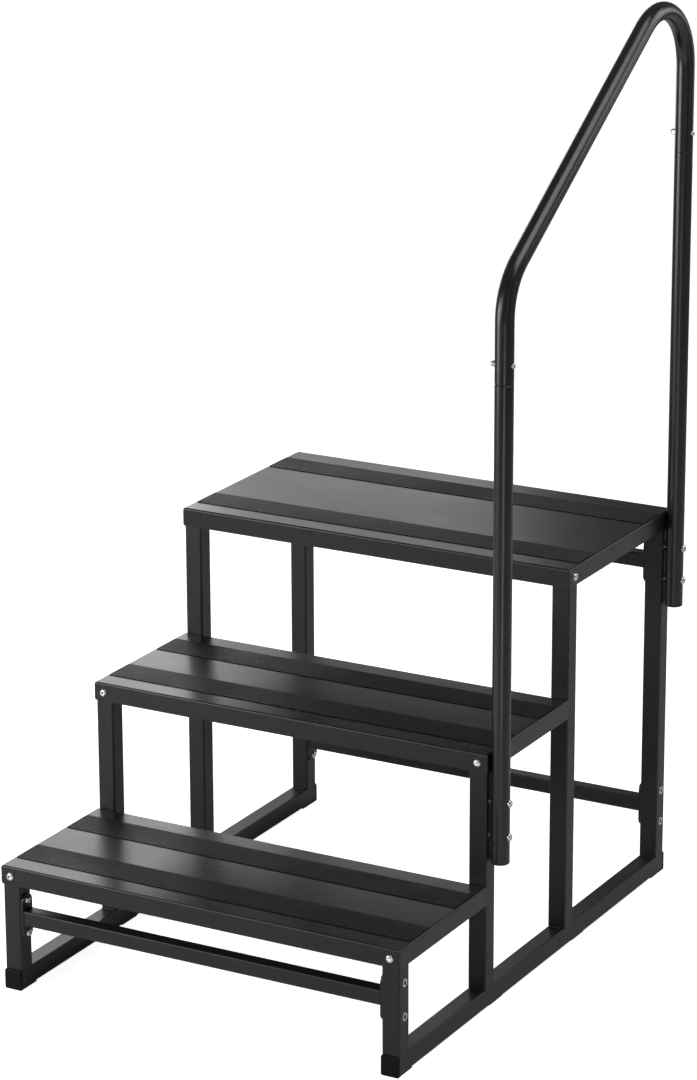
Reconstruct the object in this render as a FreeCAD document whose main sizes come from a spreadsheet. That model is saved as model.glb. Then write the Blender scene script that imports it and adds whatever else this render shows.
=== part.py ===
import FreeCAD, Part

import math
import os

import Sketcher

# Three-tread spa steps with a bolted handrail on the +X side. Millimetres, +Z up, +Y towards the back.
#
# Places are worked out in the steps' own plan: x = 0 midway between the two side frames, y = 0 at the
# front legs' front faces, z = 0 on the floor. centre_x and centre_y shift that plan so that the part's
# origin is the bottom centre of the whole object, handrail and screw heads included.

SIZES = {
    # bottom centre of the whole object, in the steps' plan
    "centre_x": 12.0,
    "centre_y": 384.5,
    # side frames: 25 mm square tube
    "tube": 25.0,
    "tube_wall": 1.5,
    "tube_corner": 2.5,
    "frame_half": 288.5,
    "rail_low": 2.0,
    "rear_leg_front": 744.0,
    # flight
    "first_top": 170.0,
    "rise": 177.5,
    "going": 229.5,
    # light tube: step rails and cross braces
    "light": 20.0,
    "light_wall": 1.5,
    "light_corner": 2.0,
    # folded treads
    "sheet": 1.5,
    "bend": 2.5,
    "flange": 25.0,
    "seam": 0.4,
    "seam_stop": 4.0,
    "flange_corner": 3.0,
    "notch_clear": 1.0,
    "screw_drop": 13.0,
    # stiffening channels under the treads
    "channel_width": 30.0,
    "channel_height": 15.0,
    "channel_gap": 1.0,
    # anti-slip strips
    "strip_width": 50.0,
    "strip_thick": 0.9,
    "strip_half": 287.5,
    "strip_front": 31.0,
    "strip_rear": 150.0,
    "platform_strip_rear": 226.5,
    # cross braces and their end plates
    "lower_brace": 100.0,
    "upper_brace": 452.0,
    "plate_length": 62.0,
    "plate_width": 22.0,
    "plate_thick": 3.0,
    "brace_bolt_half": 22.5,
    # handrail: 24 mm round tube, touching the treads' side flanges
    "rail_diameter": 24.0,
    "rail_wall": 1.5,
    "front_post_low": 201.0,
    "rear_post_low": 393.0,
    "front_post_bolt": 237.5,
    "rear_post_bolt": 429.5,
    "post_bolt_pitch": 45.0,
    "front_seam": 825.0,
    "rear_seam": 1018.0,
    "front_seam_gap": 1.2,
    "rear_seam_gap": 0.2,
    "joint_bolt_rise": 24.0,
    "swage_length": 50.0,
    "swage_diameter": 20.8,
    "lower_bend_height": 903.6,
    "lower_bend_radius": 80.0,
    "upper_bend_height": 1129.9,
    "upper_bend_radius": 83.5,
    "plug_flange": 2.0,
    "plug_depth": 12.0,
    "plug_wall": 2.0,
    # moulded foot caps and floor pads
    "cap_protrusion": 3.2,
    "cap_width": 26.0,
    "cap_top": 27.5,
    "cap_corner": 3.0,
    "cap_edge": 2.0,
    "cap_plug_depth": 14.0,
    "cap_plug_clear": 0.1,
    "cap_tab_width": 22.0,
    "cap_tab_length": 35.0,
    "pad_width": 20.0,
    "pad_length": 40.0,
    "pad_corner": 3.0,
    "front_pad": 264.5,
    "rear_pad": 504.5,
    # M6 fasteners
    "thread": 6.0,
    "bolt_hole": 6.4,
    "head_diameter": 10.5,
    "head_height": 3.3,
    "head_round": 2.6,
    "socket": 4.0,
    "socket_depth": 2.1,
    "insert_diameter": 9.0,
    "insert_length": 12.0,
    "sleeve_flange_diameter": 10.8,
    "sleeve_flange": 0.8,
    "screw_length": 16.0,
    "post_bolt_length": 35.0,
    # M4 screws and domed nuts at the handrail's joints
    "joint_thread": 4.0,
    "joint_bolt_hole": 4.4,
    "joint_head_diameter": 7.6,
    "joint_head_height": 2.2,
    "joint_head_round": 1.7,
    "joint_socket": 2.5,
    "joint_socket_depth": 1.3,
    "nut_flats": 7.0,
    "nut_hex_height": 3.2,
    "nut_height": 7.0,
    "nut_dome_diameter": 6.6,
    "nut_dome_round": 3.0,
    "nut_bore_depth": 5.5,
    "thread_in_nut": 5.0,
}

NO_TURN = FreeCAD.Rotation()
LIE_ALONG_X = FreeCAD.Rotation(FreeCAD.Vector(0, 1, 0), 90)
LIE_ALONG_Y = FreeCAD.Rotation(FreeCAD.Vector(1, 0, 0), -90)
FACE_LEFT = FreeCAD.Rotation(FreeCAD.Vector(0, 1, 0), -90)
FACE_RIGHT = LIE_ALONG_X
FACE_FRONT = FreeCAD.Rotation(FreeCAD.Vector(1, 0, 0), 90)
FACE_BACK = LIE_ALONG_Y
HALF_TURN = FreeCAD.Rotation(FreeCAD.Vector(0, 0, 1), 180)

LEFT = -1
RIGHT = 1
SIDE_NAMES = {LEFT: "left", RIGHT: "right"}
BOTH_WALLS = 0
LOW_WALL = -1
HIGH_WALL = 1

doc = FreeCAD.newDocument("spa_steps")
nodes = {}


# ---------------------------------------------------------------- sizes

class Size:
    """A number together with the spreadsheet expression that gives it."""

    def __init__(self, value, text):
        self.value = value
        self.text = text

    def __add__(self, other):
        other = size(other)
        return Size(self.value + other.value, f"({self.text} + {other.text})")

    def __sub__(self, other):
        other = size(other)
        return Size(self.value - other.value, f"({self.text} - {other.text})")

    def __mul__(self, other):
        other = size(other)
        return Size(self.value * other.value, f"({self.text} * {other.text})")

    def __truediv__(self, other):
        other = size(other)
        return Size(self.value / other.value, f"({self.text} / {other.text})")

    def __radd__(self, other):
        return size(other) + self

    def __rsub__(self, other):
        return size(other) - self

    def __rmul__(self, other):
        return size(other) * self

    def __neg__(self):
        return size(0) - self


def size(value):
    """The value as a Size; plain numbers stay plain in the expression."""
    if isinstance(value, Size):
        return value
    return Size(float(value), f"{float(value):.9f}")


class Sheet:
    """The driving dimensions: one spreadsheet cell and one attribute for each."""

    def __init__(self, values):
        cells = doc.addObject("Spreadsheet::Sheet", "sizes")
        for row, (name, number) in enumerate(values.items(), start=1):
            cells.set(f"A{row}", name)
            cells.set(f"B{row}", str(number))
            cells.setAlias(f"B{row}", name)
            setattr(self, name, Size(number, f"sizes.{name}"))
        doc.recompute()


dim = Sheet(SIZES)


def bind(target, path, value):
    """Drive one property of an object from the spreadsheet."""
    target.setExpression(path, size(value).text)


def place(target, x, y, z, turn=NO_TURN):
    """Put an object's own origin at a point of the steps' plan."""
    x = size(x) - dim.centre_x
    y = size(y) - dim.centre_y
    z = size(z)
    target.Placement = FreeCAD.Placement(FreeCAD.Vector(x.value, y.value, z.value), turn)
    bind(target, ".Placement.Base.x", x)
    bind(target, ".Placement.Base.y", y)
    bind(target, ".Placement.Base.z", z)


# ---------------------------------------------------------------- sketches

def new_body(label):
    body = doc.addObject("PartDesign::Body", label)
    body.Label = label
    return body


def new_sketch(body, role, name, offset=0):
    """A sketch on one of the body's own origin planes, moved along that plane's normal by offset."""
    sketch = body.newObject("Sketcher::SketchObject", name)
    plane = next(item for item in body.Origin.OriginFeatures if item.Role == role)
    sketch.AttachmentSupport = [(plane, "")]
    sketch.MapMode = "FlatFace"
    bind(sketch, ".AttachmentOffset.Base.z", offset)
    return sketch


def constrain(sketch, kind, *references):
    return sketch.addConstraint(Sketcher.Constraint(kind, *references))


def dimension(sketch, kind, references, value):
    """A dimension that the spreadsheet drives."""
    index = constrain(sketch, kind, *references, value.value)
    sketch.setExpression(f"Constraints[{index}]", value.text)


def locate(sketch, geometry, point, x, y):
    """Fix a point of a sketch's geometry by its two distances from the sketch's origin."""
    for kind, value, axis in (("DistanceX", size(x), -2), ("DistanceY", size(y), -1)):
        if abs(value.value) < 1e-9:
            constrain(sketch, "PointOnObject", geometry, point, axis)
        elif value.value > 0:
            dimension(sketch, kind, (-1, 1, geometry, point), value)
        else:
            dimension(sketch, kind, (geometry, point, -1, 1), -value)


def circle(sketch, x, y, diameter):
    centre = FreeCAD.Vector(size(x).value, size(y).value, 0)
    shape = Part.Circle(centre, FreeCAD.Vector(0, 0, 1), diameter.value / 2)
    index = sketch.addGeometry(shape)
    locate(sketch, index, 3, x, y)
    dimension(sketch, "Radius", (index,), diameter / 2)


def outline(sketch, corners):
    """A closed outline of straight lines through the corners."""
    points = [FreeCAD.Vector(size(x).value, size(y).value, 0) for x, y in corners]
    lines = []
    for start, end in zip(points, points[1:] + points[:1]):
        lines.append(sketch.addGeometry(Part.LineSegment(start, end)))
    for this, following in zip(lines, lines[1:] + lines[:1]):
        constrain(sketch, "Coincident", this, 2, following, 1)
    for line, (x, y) in zip(lines, corners):
        locate(sketch, line, 1, x, y)


def rectangle(sketch, left, right, low, high):
    outline(sketch, [(left, low), (right, low), (right, high), (left, high)])


def arc(sketch, x, y, radius, start, end):
    """An arc from the start angle to the end angle, in degrees, anticlockwise."""
    whole = Part.Circle(FreeCAD.Vector(x, y, 0), FreeCAD.Vector(0, 0, 1), radius)
    return sketch.addGeometry(Part.ArcOfCircle(whole, math.radians(start), math.radians(end)))


def line(sketch, start, end):
    return sketch.addGeometry(Part.LineSegment(FreeCAD.Vector(*start, 0), FreeCAD.Vector(*end, 0)))


def rounded_rectangle(sketch, left, right, low, high, radius):
    """A rectangle with four equal round corners."""
    left, right, low, high = size(left), size(right), size(low), size(high)
    x_low, x_high, y_low, y_high, r = left.value, right.value, low.value, high.value, radius.value
    sides = [
        line(sketch, (x_low + r, y_low), (x_high - r, y_low)),
        line(sketch, (x_high, y_low + r), (x_high, y_high - r)),
        line(sketch, (x_high - r, y_high), (x_low + r, y_high)),
        line(sketch, (x_low, y_high - r), (x_low, y_low + r)),
    ]
    corners = [
        arc(sketch, x_high - r, y_low + r, r, 270, 360),
        arc(sketch, x_high - r, y_high - r, r, 0, 90),
        arc(sketch, x_low + r, y_high - r, r, 90, 180),
        arc(sketch, x_low + r, y_low + r, r, 180, 270),
    ]
    for side, corner, following in zip(sides, corners, sides[1:] + sides[:1]):
        constrain(sketch, "Tangent", side, 2, corner, 1)
        constrain(sketch, "Tangent", corner, 2, following, 1)
    for side, kind in zip(sides, ("Horizontal", "Vertical", "Horizontal", "Vertical")):
        constrain(sketch, kind, side)
    for corner in corners[1:]:
        constrain(sketch, "Equal", corners[0], corner)
    dimension(sketch, "Radius", (corners[0],), radius)
    dimension(sketch, "DistanceX", (sides[3], 1, -1, 1), -left)
    dimension(sketch, "DistanceX", (-1, 1, sides[1], 1), right)
    dimension(sketch, "DistanceY", (sides[0], 1, -1, 1), -low)
    dimension(sketch, "DistanceY", (-1, 1, sides[2], 1), high)


def rounded_square(sketch, side, radius):
    rounded_rectangle(sketch, -side / 2, side / 2, -side / 2, side / 2, radius)


def upright_obround(sketch, length, width):
    """A slot shape centred on the sketch's origin, its length upright."""
    r = width.value / 2
    rise = (length.value - width.value) / 2
    top = arc(sketch, 0, rise, r, 0, 180)
    bottom = arc(sketch, 0, -rise, r, 180, 360)
    left = line(sketch, (-r, rise), (-r, -rise))
    right = line(sketch, (r, -rise), (r, rise))
    constrain(sketch, "Tangent", top, 2, left, 1)
    constrain(sketch, "Tangent", left, 2, bottom, 1)
    constrain(sketch, "Tangent", bottom, 2, right, 1)
    constrain(sketch, "Tangent", right, 2, top, 1)
    constrain(sketch, "Vertical", left)
    constrain(sketch, "Equal", top, bottom)
    dimension(sketch, "Radius", (top,), width / 2)
    locate(sketch, top, 3, 0, (length - width) / 2)
    dimension(sketch, "DistanceY", (bottom, 3, -1, 1), (length - width) / 2)


def hexagon(sketch, across_flats):
    corner = across_flats / math.sqrt(3)
    angles = [math.radians(60 * step) for step in range(6)]
    outline(sketch, [(corner * math.cos(a), corner * math.sin(a)) for a in angles])


# ---------------------------------------------------------------- features

def pad(body, sketch, length, symmetric=False, reverse=False):
    feature = body.newObject("PartDesign::Pad", "Pad")
    feature.Profile = sketch
    feature.SideType = "Symmetric" if symmetric else "One side"
    feature.Reversed = reverse
    bind(feature, "Length", length)
    doc.recompute()
    return feature


def pocket(body, sketch, length=None, reverse=False):
    """Cut along the sketch's normal: right through both ways, or one way by a length."""
    before = body.Shape.Volume
    feature = body.newObject("PartDesign::Pocket", "Pocket")
    feature.Profile = sketch
    feature.Reversed = reverse
    if length is None:
        feature.SideType = "Symmetric"
        feature.Type = "ThroughAll"
    else:
        feature.SideType = "One side"
        bind(feature, "Length", length)
    doc.recompute()
    if before - body.Shape.Volume < 0.1:
        raise RuntimeError(f"{body.Label}: {feature.Label} cuts nothing")
    return feature


def fillet(body, radius, chosen):
    """Round the edges whose bounding boxes pass the test."""
    base = body.Tip
    edges = enumerate(base.Shape.Edges, start=1)
    names = [f"Edge{number}" for number, edge in edges if chosen(edge.BoundBox)]
    feature = body.newObject("PartDesign::Fillet", "Fillet")
    feature.Base = (base, names)
    bind(feature, "Radius", radius)
    doc.recompute()
    return feature


def revolve(body, sketch):
    feature = body.newObject("PartDesign::Revolution", "Revolution")
    feature.Profile = sketch
    feature.ReferenceAxis = (sketch, ["V_Axis"])
    feature.Angle = 360
    doc.recompute()
    return feature


def drill(body, direction, height, diameter, wall=BOTH_WALLS):
    """Drill an upright tube across its axis, through both walls or only the low or high one."""
    plane = {"x": "YZ_Plane", "y": "XZ_Plane"}[direction]
    sketch = new_sketch(body, plane, "Hole")
    circle(sketch, 0, height, diameter)
    if wall == BOTH_WALLS:
        pocket(body, sketch)
        return
    towards_high = {"x": True, "y": False}[direction]
    reverse = towards_high if wall == HIGH_WALL else not towards_high
    pocket(body, sketch, dim.tube, reverse)


def level(value, target):
    return abs(value - target) < 1e-4


# ---------------------------------------------------------------- square tubes

def square_tube(label, side, wall, corner, length):
    """A square tube standing on its own origin."""
    body = new_body(label)
    section = new_sketch(body, "XY_Plane", "Section")
    rounded_square(section, side, corner)
    rounded_square(section, side - wall * 2, corner - wall)
    pad(body, section, length)
    nodes[label] = body
    return body


def frame_tube(label, length):
    return square_tube(label, dim.tube, dim.tube_wall, dim.tube_corner, length)


def light_tube(label, length):
    return square_tube(label, dim.light, dim.light_wall, dim.light_corner, length)


def tread_top(number):
    """Height of a tread's upper face; tread 1 is the lowest."""
    return dim.first_top + dim.rise * (number - 1)


def leg_front(number):
    """Front face of a row of legs; row 1 is the foremost and row 4 the rearmost."""
    if number == 4:
        return dim.rear_leg_front
    return dim.going * (number - 1)


LEG_TOP_TREAD = {1: 1, 2: 2, 3: 3, 4: 3}
LEG_NAMES = {1: "front_leg", 2: "second_leg", 3: "third_leg", 4: "rear_leg"}
leg_x = dim.frame_half - dim.tube / 2
leg_foot = dim.rail_low + dim.tube
frame_depth = dim.rear_leg_front + dim.tube


def screw_height(tread):
    return tread_top(tread) - dim.screw_drop


def pair(centre, half):
    return [centre - half, centre + half]


def post_bolts(first):
    return [first, first + dim.post_bolt_pitch]


def make_legs():
    for side, side_name in SIDE_NAMES.items():
        for number, name in LEG_NAMES.items():
            # The tops stay one inside bend radius below the sheet.
            top = tread_top(LEG_TOP_TREAD[number]) - dim.bend
            leg = frame_tube(f"{side_name}_{name}", top - leg_foot)
            bolts = []
            if number == 1:
                bolts = pair(dim.lower_brace, dim.brace_bolt_half)
            if number == 4:
                bolts = pair(dim.lower_brace, dim.brace_bolt_half)
                bolts += pair(dim.upper_brace, dim.brace_bolt_half)
            if number == 2 and side == RIGHT:
                bolts = post_bolts(dim.front_post_bolt)
            for height in bolts:
                drill(leg, "x", height - leg_foot, dim.insert_diameter)
            insert = screw_height(LEG_TOP_TREAD[number]) - leg_foot
            if number in (1, 2):
                drill(leg, "y", insert, dim.insert_diameter, LOW_WALL)
            if number == 3:
                outer = HIGH_WALL if side == RIGHT else LOW_WALL
                drill(leg, "x", insert, dim.insert_diameter, outer)
            if number == 4:
                drill(leg, "y", insert, dim.insert_diameter, HIGH_WALL)
            place(leg, leg_x * side, leg_front(number) + dim.tube / 2, leg_foot)


def make_bottom_rails():
    for side, side_name in SIDE_NAMES.items():
        rail = frame_tube(f"{side_name}_bottom_rail", frame_depth)
        place(rail, leg_x * side, 0, dim.rail_low + dim.tube / 2, LIE_ALONG_Y)


def make_step_rails():
    """Light tubes between the legs, each carrying one edge of a tread."""
    for side, side_name in SIDE_NAMES.items():
        for tread in (1, 2, 3):
            front = leg_front(tread) + dim.tube
            back = leg_front(tread + 1)
            rail = light_tube(f"{side_name}_step_rail_{tread}", back - front)
            x = (dim.frame_half - dim.light / 2) * side
            z = tread_top(tread) - dim.sheet - dim.light / 2
            place(rail, x, front, z, LIE_ALONG_Y)


# ---------------------------------------------------------------- treads

tread_half = dim.frame_half + dim.sheet
stair_depth = dim.going + dim.sheet
platform_depth = frame_depth - dim.going * 2 + dim.sheet * 2


def tread_front(number):
    return leg_front(number) - dim.sheet


def folded_pan(label, depth):
    """A sheet folded down on four sides; its origin is at the front face, at the flange's lower edge."""
    body = new_body(label)
    blank = new_sketch(body, "XY_Plane", "Outline")
    rectangle(blank, -tread_half, tread_half, 0, depth)
    pad(body, blank, dim.flange)
    top = dim.flange.value
    fillet(body, dim.bend, lambda box: level(box.ZMin, top) and level(box.ZMax, top))
    inside = new_sketch(body, "XY_Plane", "Inside")
    half = dim.frame_half
    rectangle(inside, -half, half, dim.sheet, depth - dim.sheet)
    pocket(body, inside, dim.flange - dim.sheet, reverse=True)
    roof = (dim.flange - dim.sheet).value
    fillet(body, dim.bend - dim.sheet, lambda box: level(box.ZMin, roof) and level(box.ZMax, roof))
    return body


def cut_corner_seams(body, behind):
    """The open seam between a cross flange and the side flanges, stopping short of the bend."""
    sketch = new_sketch(body, "YZ_Plane", "CornerSeam")
    rectangle(sketch, behind, behind + dim.seam, 0, dim.flange - dim.seam_stop)
    pocket(body, sketch)


def round_flange_ends(body, near, far):
    """Round the lower corners of a cross flange that lies between two depths."""
    half = tread_half.value

    def chosen(box):
        at_end = level(abs(box.XMin), half) and level(box.XMin, box.XMax)
        in_flange = box.YMin > near - 1e-3 and box.YMax < far + 1e-3
        return at_end and in_flange and level(box.ZMin, 0) and level(box.ZMax, 0)

    fillet(body, dim.flange_corner, chosen)


def flange_screw_holes(body, offset, reverse):
    """Two screw holes through a cross flange, in line with the legs."""
    sketch = new_sketch(body, "XZ_Plane", "ScrewHoles", offset)
    for side in SIDE_NAMES:
        circle(sketch, leg_x * side, dim.flange - dim.screw_drop, dim.bolt_hole)
    pocket(body, sketch, dim.sheet * 2, reverse)


def make_stair_treads():
    """Treads 1 and 2: the rear flange drops only between the step rails."""
    for number in (1, 2):
        body = folded_pan(f"tread_{number}", stair_depth)
        notches = new_sketch(body, "XY_Plane", "RearNotches")
        inner = dim.frame_half - dim.light - dim.notch_clear
        rectangle(notches, inner, dim.frame_half, stair_depth - dim.bend, stair_depth)
        rectangle(notches, -dim.frame_half, -inner, stair_depth - dim.bend, stair_depth)
        pocket(body, notches, dim.flange - dim.sheet, reverse=True)
        cut_corner_seams(body, dim.sheet)
        round_flange_ends(body, 0, dim.sheet.value)
        flange_screw_holes(body, 0, False)
        place(body, 0, tread_front(number), tread_top(number) - dim.flange)
        nodes[body.Label] = body


def make_platform():
    """Tread 3: a full pan, screwed through its side flanges in front and its rear flange behind."""
    body = folded_pan("tread_3", platform_depth)
    cut_corner_seams(body, dim.sheet)
    cut_corner_seams(body, platform_depth - dim.sheet - dim.seam)
    round_flange_ends(body, 0, dim.sheet.value)
    depth = platform_depth.value
    round_flange_ends(body, depth - dim.sheet.value, depth)
    flange_screw_holes(body, -platform_depth, True)
    side_holes = new_sketch(body, "YZ_Plane", "SideHoles")
    circle(side_holes, dim.sheet + dim.tube / 2, dim.flange - dim.screw_drop, dim.bolt_hole)
    pocket(body, side_holes)
    place(body, 0, tread_front(3), tread_top(3) - dim.flange)
    nodes[body.Label] = body


def stiffener(label, tread, centre_y):
    """A channel welded under a tread, open downwards, from one step rail to the other."""
    body = new_body(label)
    section = new_sketch(body, "YZ_Plane", "Section")
    half = dim.channel_width / 2
    deep = -dim.channel_height
    corners = [
        (-half, deep),
        (-half + dim.sheet, deep),
        (-half + dim.sheet, -dim.sheet),
        (half - dim.sheet, -dim.sheet),
        (half - dim.sheet, deep),
        (half, deep),
        (half, 0),
        (-half, 0),
    ]
    outline(section, corners)
    span = (dim.frame_half - dim.light - dim.channel_gap) * 2
    pad(body, section, span, symmetric=True)
    place(body, 0, centre_y, tread_top(tread) - dim.sheet)
    nodes[label] = body


def make_stiffeners():
    for tread in (1, 2):
        stiffener(f"tread_{tread}_stiffener", tread, leg_front(tread) + dim.going / 2)
    for name, share in (("front", 1 / 3), ("rear", 2 / 3)):
        centre = leg_front(3) + (frame_depth - leg_front(3)) * share
        stiffener(f"tread_3_{name}_stiffener", 3, centre)


def make_strips():
    """Two anti-slip strips across each tread."""
    for tread in (1, 2, 3):
        rear = dim.platform_strip_rear if tread == 3 else dim.strip_rear
        for name, start in (("front", dim.strip_front), ("rear", rear)):
            strip = doc.addObject("Part::Box", f"tread_{tread}_{name}_strip")
            bind(strip, "Length", dim.strip_half * 2)
            bind(strip, "Width", dim.strip_width)
            bind(strip, "Height", dim.strip_thick)
            place(strip, -dim.strip_half, tread_front(tread) + start, tread_top(tread))
            nodes[strip.Label] = strip


# ---------------------------------------------------------------- cross braces

BRACES = {
    "front_lower_brace": (1, dim.lower_brace),
    "rear_lower_brace": (4, dim.lower_brace),
    "rear_upper_brace": (4, dim.upper_brace),
}
plate_inner = dim.frame_half - dim.tube - dim.plate_thick


def make_braces():
    """Light tubes across the frame, each ending on two round-ended plates bolted to the legs."""
    for name, (leg, height) in BRACES.items():
        centre_y = leg_front(leg) + dim.tube / 2
        brace = light_tube(name, plate_inner * 2)
        place(brace, -plate_inner, centre_y, height, LIE_ALONG_X)
        for side, side_name in SIDE_NAMES.items():
            plate = new_body(f"{name}_{side_name}_plate")
            shape = new_sketch(plate, "YZ_Plane", "Outline")
            upright_obround(shape, dim.plate_length, dim.plate_width)
            pad(plate, shape, dim.plate_thick)
            holes = new_sketch(plate, "YZ_Plane", "Holes")
            for bolt in pair(size(0), dim.brace_bolt_half):
                circle(holes, 0, bolt, dim.bolt_hole)
            pocket(plate, holes)
            near = plate_inner if side == RIGHT else -plate_inner - dim.plate_thick
            place(plate, near, centre_y, height)
            nodes[plate.Label] = plate


# ---------------------------------------------------------------- handrail

post_x = tread_half + dim.rail_diameter / 2
front_post_y = leg_front(2) + dim.tube / 2
rear_post_y = leg_front(4) + dim.tube / 2
bow_start = dim.front_seam + dim.front_seam_gap
bow_end = dim.rear_seam + dim.rear_seam_gap


def post(label, y, low, seam, bolts):
    """A round tube whose swaged top slides into the bow; its origin is at its lower end."""
    outer = dim.rail_diameter / 2
    inner = outer - dim.rail_wall
    neck = dim.swage_diameter / 2
    foot = low + dim.plug_flange
    shoulder = seam - foot
    tip = shoulder + dim.swage_length
    body = new_body(label)
    profile = new_sketch(body, "XZ_Plane", "Profile")
    corners = [
        (inner, 0),
        (outer, 0),
        (outer, shoulder - 0.6),
        (outer - 0.6, shoulder),
        (neck, shoulder),
        (neck, tip),
        (neck - dim.rail_wall, tip),
        (neck - dim.rail_wall, shoulder - 2),
        (inner, shoulder - 5),
    ]
    outline(profile, corners)
    revolve(body, profile)
    for height in bolts:
        drill(body, "x", height - foot, dim.bolt_hole)
    drill(body, "x", seam + dim.joint_bolt_rise - foot, dim.joint_bolt_hole)
    place(body, post_x, y, foot)
    nodes[label] = body


def bow_path(body):
    """Up the front post, back along the slope and down to the rear post, as three runs and two bends."""
    reach = rear_post_y - front_post_y
    low_centre = dim.lower_bend_height - bow_start
    high_centre = dim.upper_bend_height - bow_start
    drop = bow_end - bow_start
    low_r, high_r = dim.lower_bend_radius.value, dim.upper_bend_radius.value
    along = reach.value - high_r - low_r
    up = high_centre.value - low_centre.value
    slope = math.atan2(up, along) + math.asin((high_r - low_r) / math.hypot(up, along))
    normal = math.pi / 2 + slope
    low_end = (low_r + low_r * math.cos(normal), low_centre.value + low_r * math.sin(normal))
    high_x = reach.value - high_r
    high_end = (high_x + high_r * math.cos(normal), high_centre.value + high_r * math.sin(normal))
    sketch = new_sketch(body, "YZ_Plane", "Path")
    rise = line(sketch, (0, 0), (0, low_centre.value))
    low_bend = arc(sketch, low_r, low_centre.value, low_r, math.degrees(normal), 180)
    run = line(sketch, low_end, high_end)
    high_bend = arc(sketch, high_x, high_centre.value, high_r, 0, math.degrees(normal))
    fall = line(sketch, (reach.value, high_centre.value), (reach.value, drop.value))
    constrain(sketch, "Coincident", rise, 1, -1, 1)
    constrain(sketch, "Vertical", rise)
    constrain(sketch, "Vertical", fall)
    constrain(sketch, "Tangent", rise, 2, low_bend, 2)
    constrain(sketch, "Tangent", low_bend, 1, run, 1)
    constrain(sketch, "Tangent", run, 2, high_bend, 2)
    constrain(sketch, "Tangent", high_bend, 1, fall, 1)
    dimension(sketch, "Radius", (low_bend,), dim.lower_bend_radius)
    dimension(sketch, "Radius", (high_bend,), dim.upper_bend_radius)
    dimension(sketch, "DistanceY", (-1, 1, low_bend, 3), low_centre)
    dimension(sketch, "DistanceY", (-1, 1, high_bend, 3), high_centre)
    locate(sketch, fall, 2, reach, drop)
    return sketch


def make_handrail():
    front_bolts = post_bolts(dim.front_post_bolt)
    rear_bolts = post_bolts(dim.rear_post_bolt)
    post("handrail_front_post", front_post_y, dim.front_post_low, dim.front_seam, front_bolts)
    post("handrail_rear_post", rear_post_y, dim.rear_post_low, dim.rear_seam, rear_bolts)
    body = new_body("handrail_bow")
    path = bow_path(body)
    section = new_sketch(body, "XY_Plane", "Section")
    circle(section, 0, 0, dim.rail_diameter)
    circle(section, 0, 0, dim.rail_diameter - dim.rail_wall * 2)
    pipe = body.newObject("PartDesign::AdditivePipe", "Pipe")
    pipe.Profile = section
    pipe.Spine = path
    doc.recompute()
    joints = new_sketch(body, "YZ_Plane", "JointHoles")
    front_height = dim.front_seam + dim.joint_bolt_rise - bow_start
    rear_height = dim.rear_seam + dim.joint_bolt_rise - bow_start
    circle(joints, 0, front_height, dim.joint_bolt_hole)
    circle(joints, rear_post_y - front_post_y, rear_height, dim.joint_bolt_hole)
    pocket(body, joints)
    place(body, post_x, front_post_y, bow_start)
    nodes[body.Label] = body


def make_post_plugs():
    """Plastic plugs that close the posts' lower ends."""
    for name, y, low in (
        ("front", front_post_y, dim.front_post_low),
        ("rear", rear_post_y, dim.rear_post_low),
    ):
        body = new_body(f"handrail_{name}_post_plug")
        outer = dim.rail_diameter / 2
        stem = outer - dim.rail_wall
        profile = new_sketch(body, "XZ_Plane", "Profile")
        corners = [
            (0, 0),
            (outer - 0.8, 0),
            (outer, 0.8),
            (outer, dim.plug_flange),
            (stem, dim.plug_flange),
            (stem, dim.plug_flange + dim.plug_depth),
            (stem - dim.plug_wall, dim.plug_flange + dim.plug_depth),
            (stem - dim.plug_wall, dim.plug_flange),
            (0, dim.plug_flange),
        ]
        outline(profile, corners)
        revolve(body, profile)
        place(body, post_x, y, low)
        nodes[body.Label] = body


# ---------------------------------------------------------------- feet

def foot_cap(label):
    """A moulded cap: an end plate, a hollow plug inside the rail and a tab under it."""
    body = new_body(label)
    axis_height = dim.rail_low + dim.tube / 2
    half = dim.cap_width / 2
    plate = new_sketch(body, "XZ_Plane", "EndPlate")
    rounded_rectangle(plate, -half, half, -axis_height, dim.cap_top - axis_height, dim.cap_corner)
    pad(body, plate, dim.cap_protrusion)
    face = -dim.cap_protrusion.value
    fillet(body, dim.cap_edge, lambda box: level(box.YMin, face) and level(box.YMax, face))
    bore = dim.tube - dim.tube_wall * 2 - dim.cap_plug_clear * 2
    plug = new_sketch(body, "XZ_Plane", "Plug")
    rounded_square(plug, bore, dim.tube_corner - dim.tube_wall)
    rounded_square(plug, bore - dim.plug_wall * 2, size(0.5))
    pad(body, plug, dim.cap_plug_depth, reverse=True)
    tab = new_sketch(body, "XZ_Plane", "Tab")
    tab_half = dim.cap_tab_width / 2
    rectangle(tab, -tab_half, tab_half, -axis_height, -dim.tube / 2)
    pad(body, tab, dim.cap_tab_length, reverse=True)
    nodes[label] = body
    return body


def make_feet():
    axis_height = dim.rail_low + dim.tube / 2
    for side, side_name in SIDE_NAMES.items():
        place(foot_cap(f"{side_name}_front_foot_cap"), leg_x * side, 0, axis_height)
        rear = foot_cap(f"{side_name}_rear_foot_cap")
        place(rear, leg_x * side, frame_depth, axis_height, HALF_TURN)
        for name, y in (("front", dim.front_pad), ("rear", dim.rear_pad)):
            body = new_body(f"{side_name}_{name}_floor_pad")
            shape = new_sketch(body, "XY_Plane", "Outline")
            half_x, half_y = dim.pad_width / 2, dim.pad_length / 2
            rounded_rectangle(shape, -half_x, half_x, -half_y, half_y, dim.pad_corner)
            pad(body, shape, dim.rail_low)
            place(body, leg_x * side, y, 0)
            nodes[body.Label] = body


# ---------------------------------------------------------------- fasteners

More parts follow.
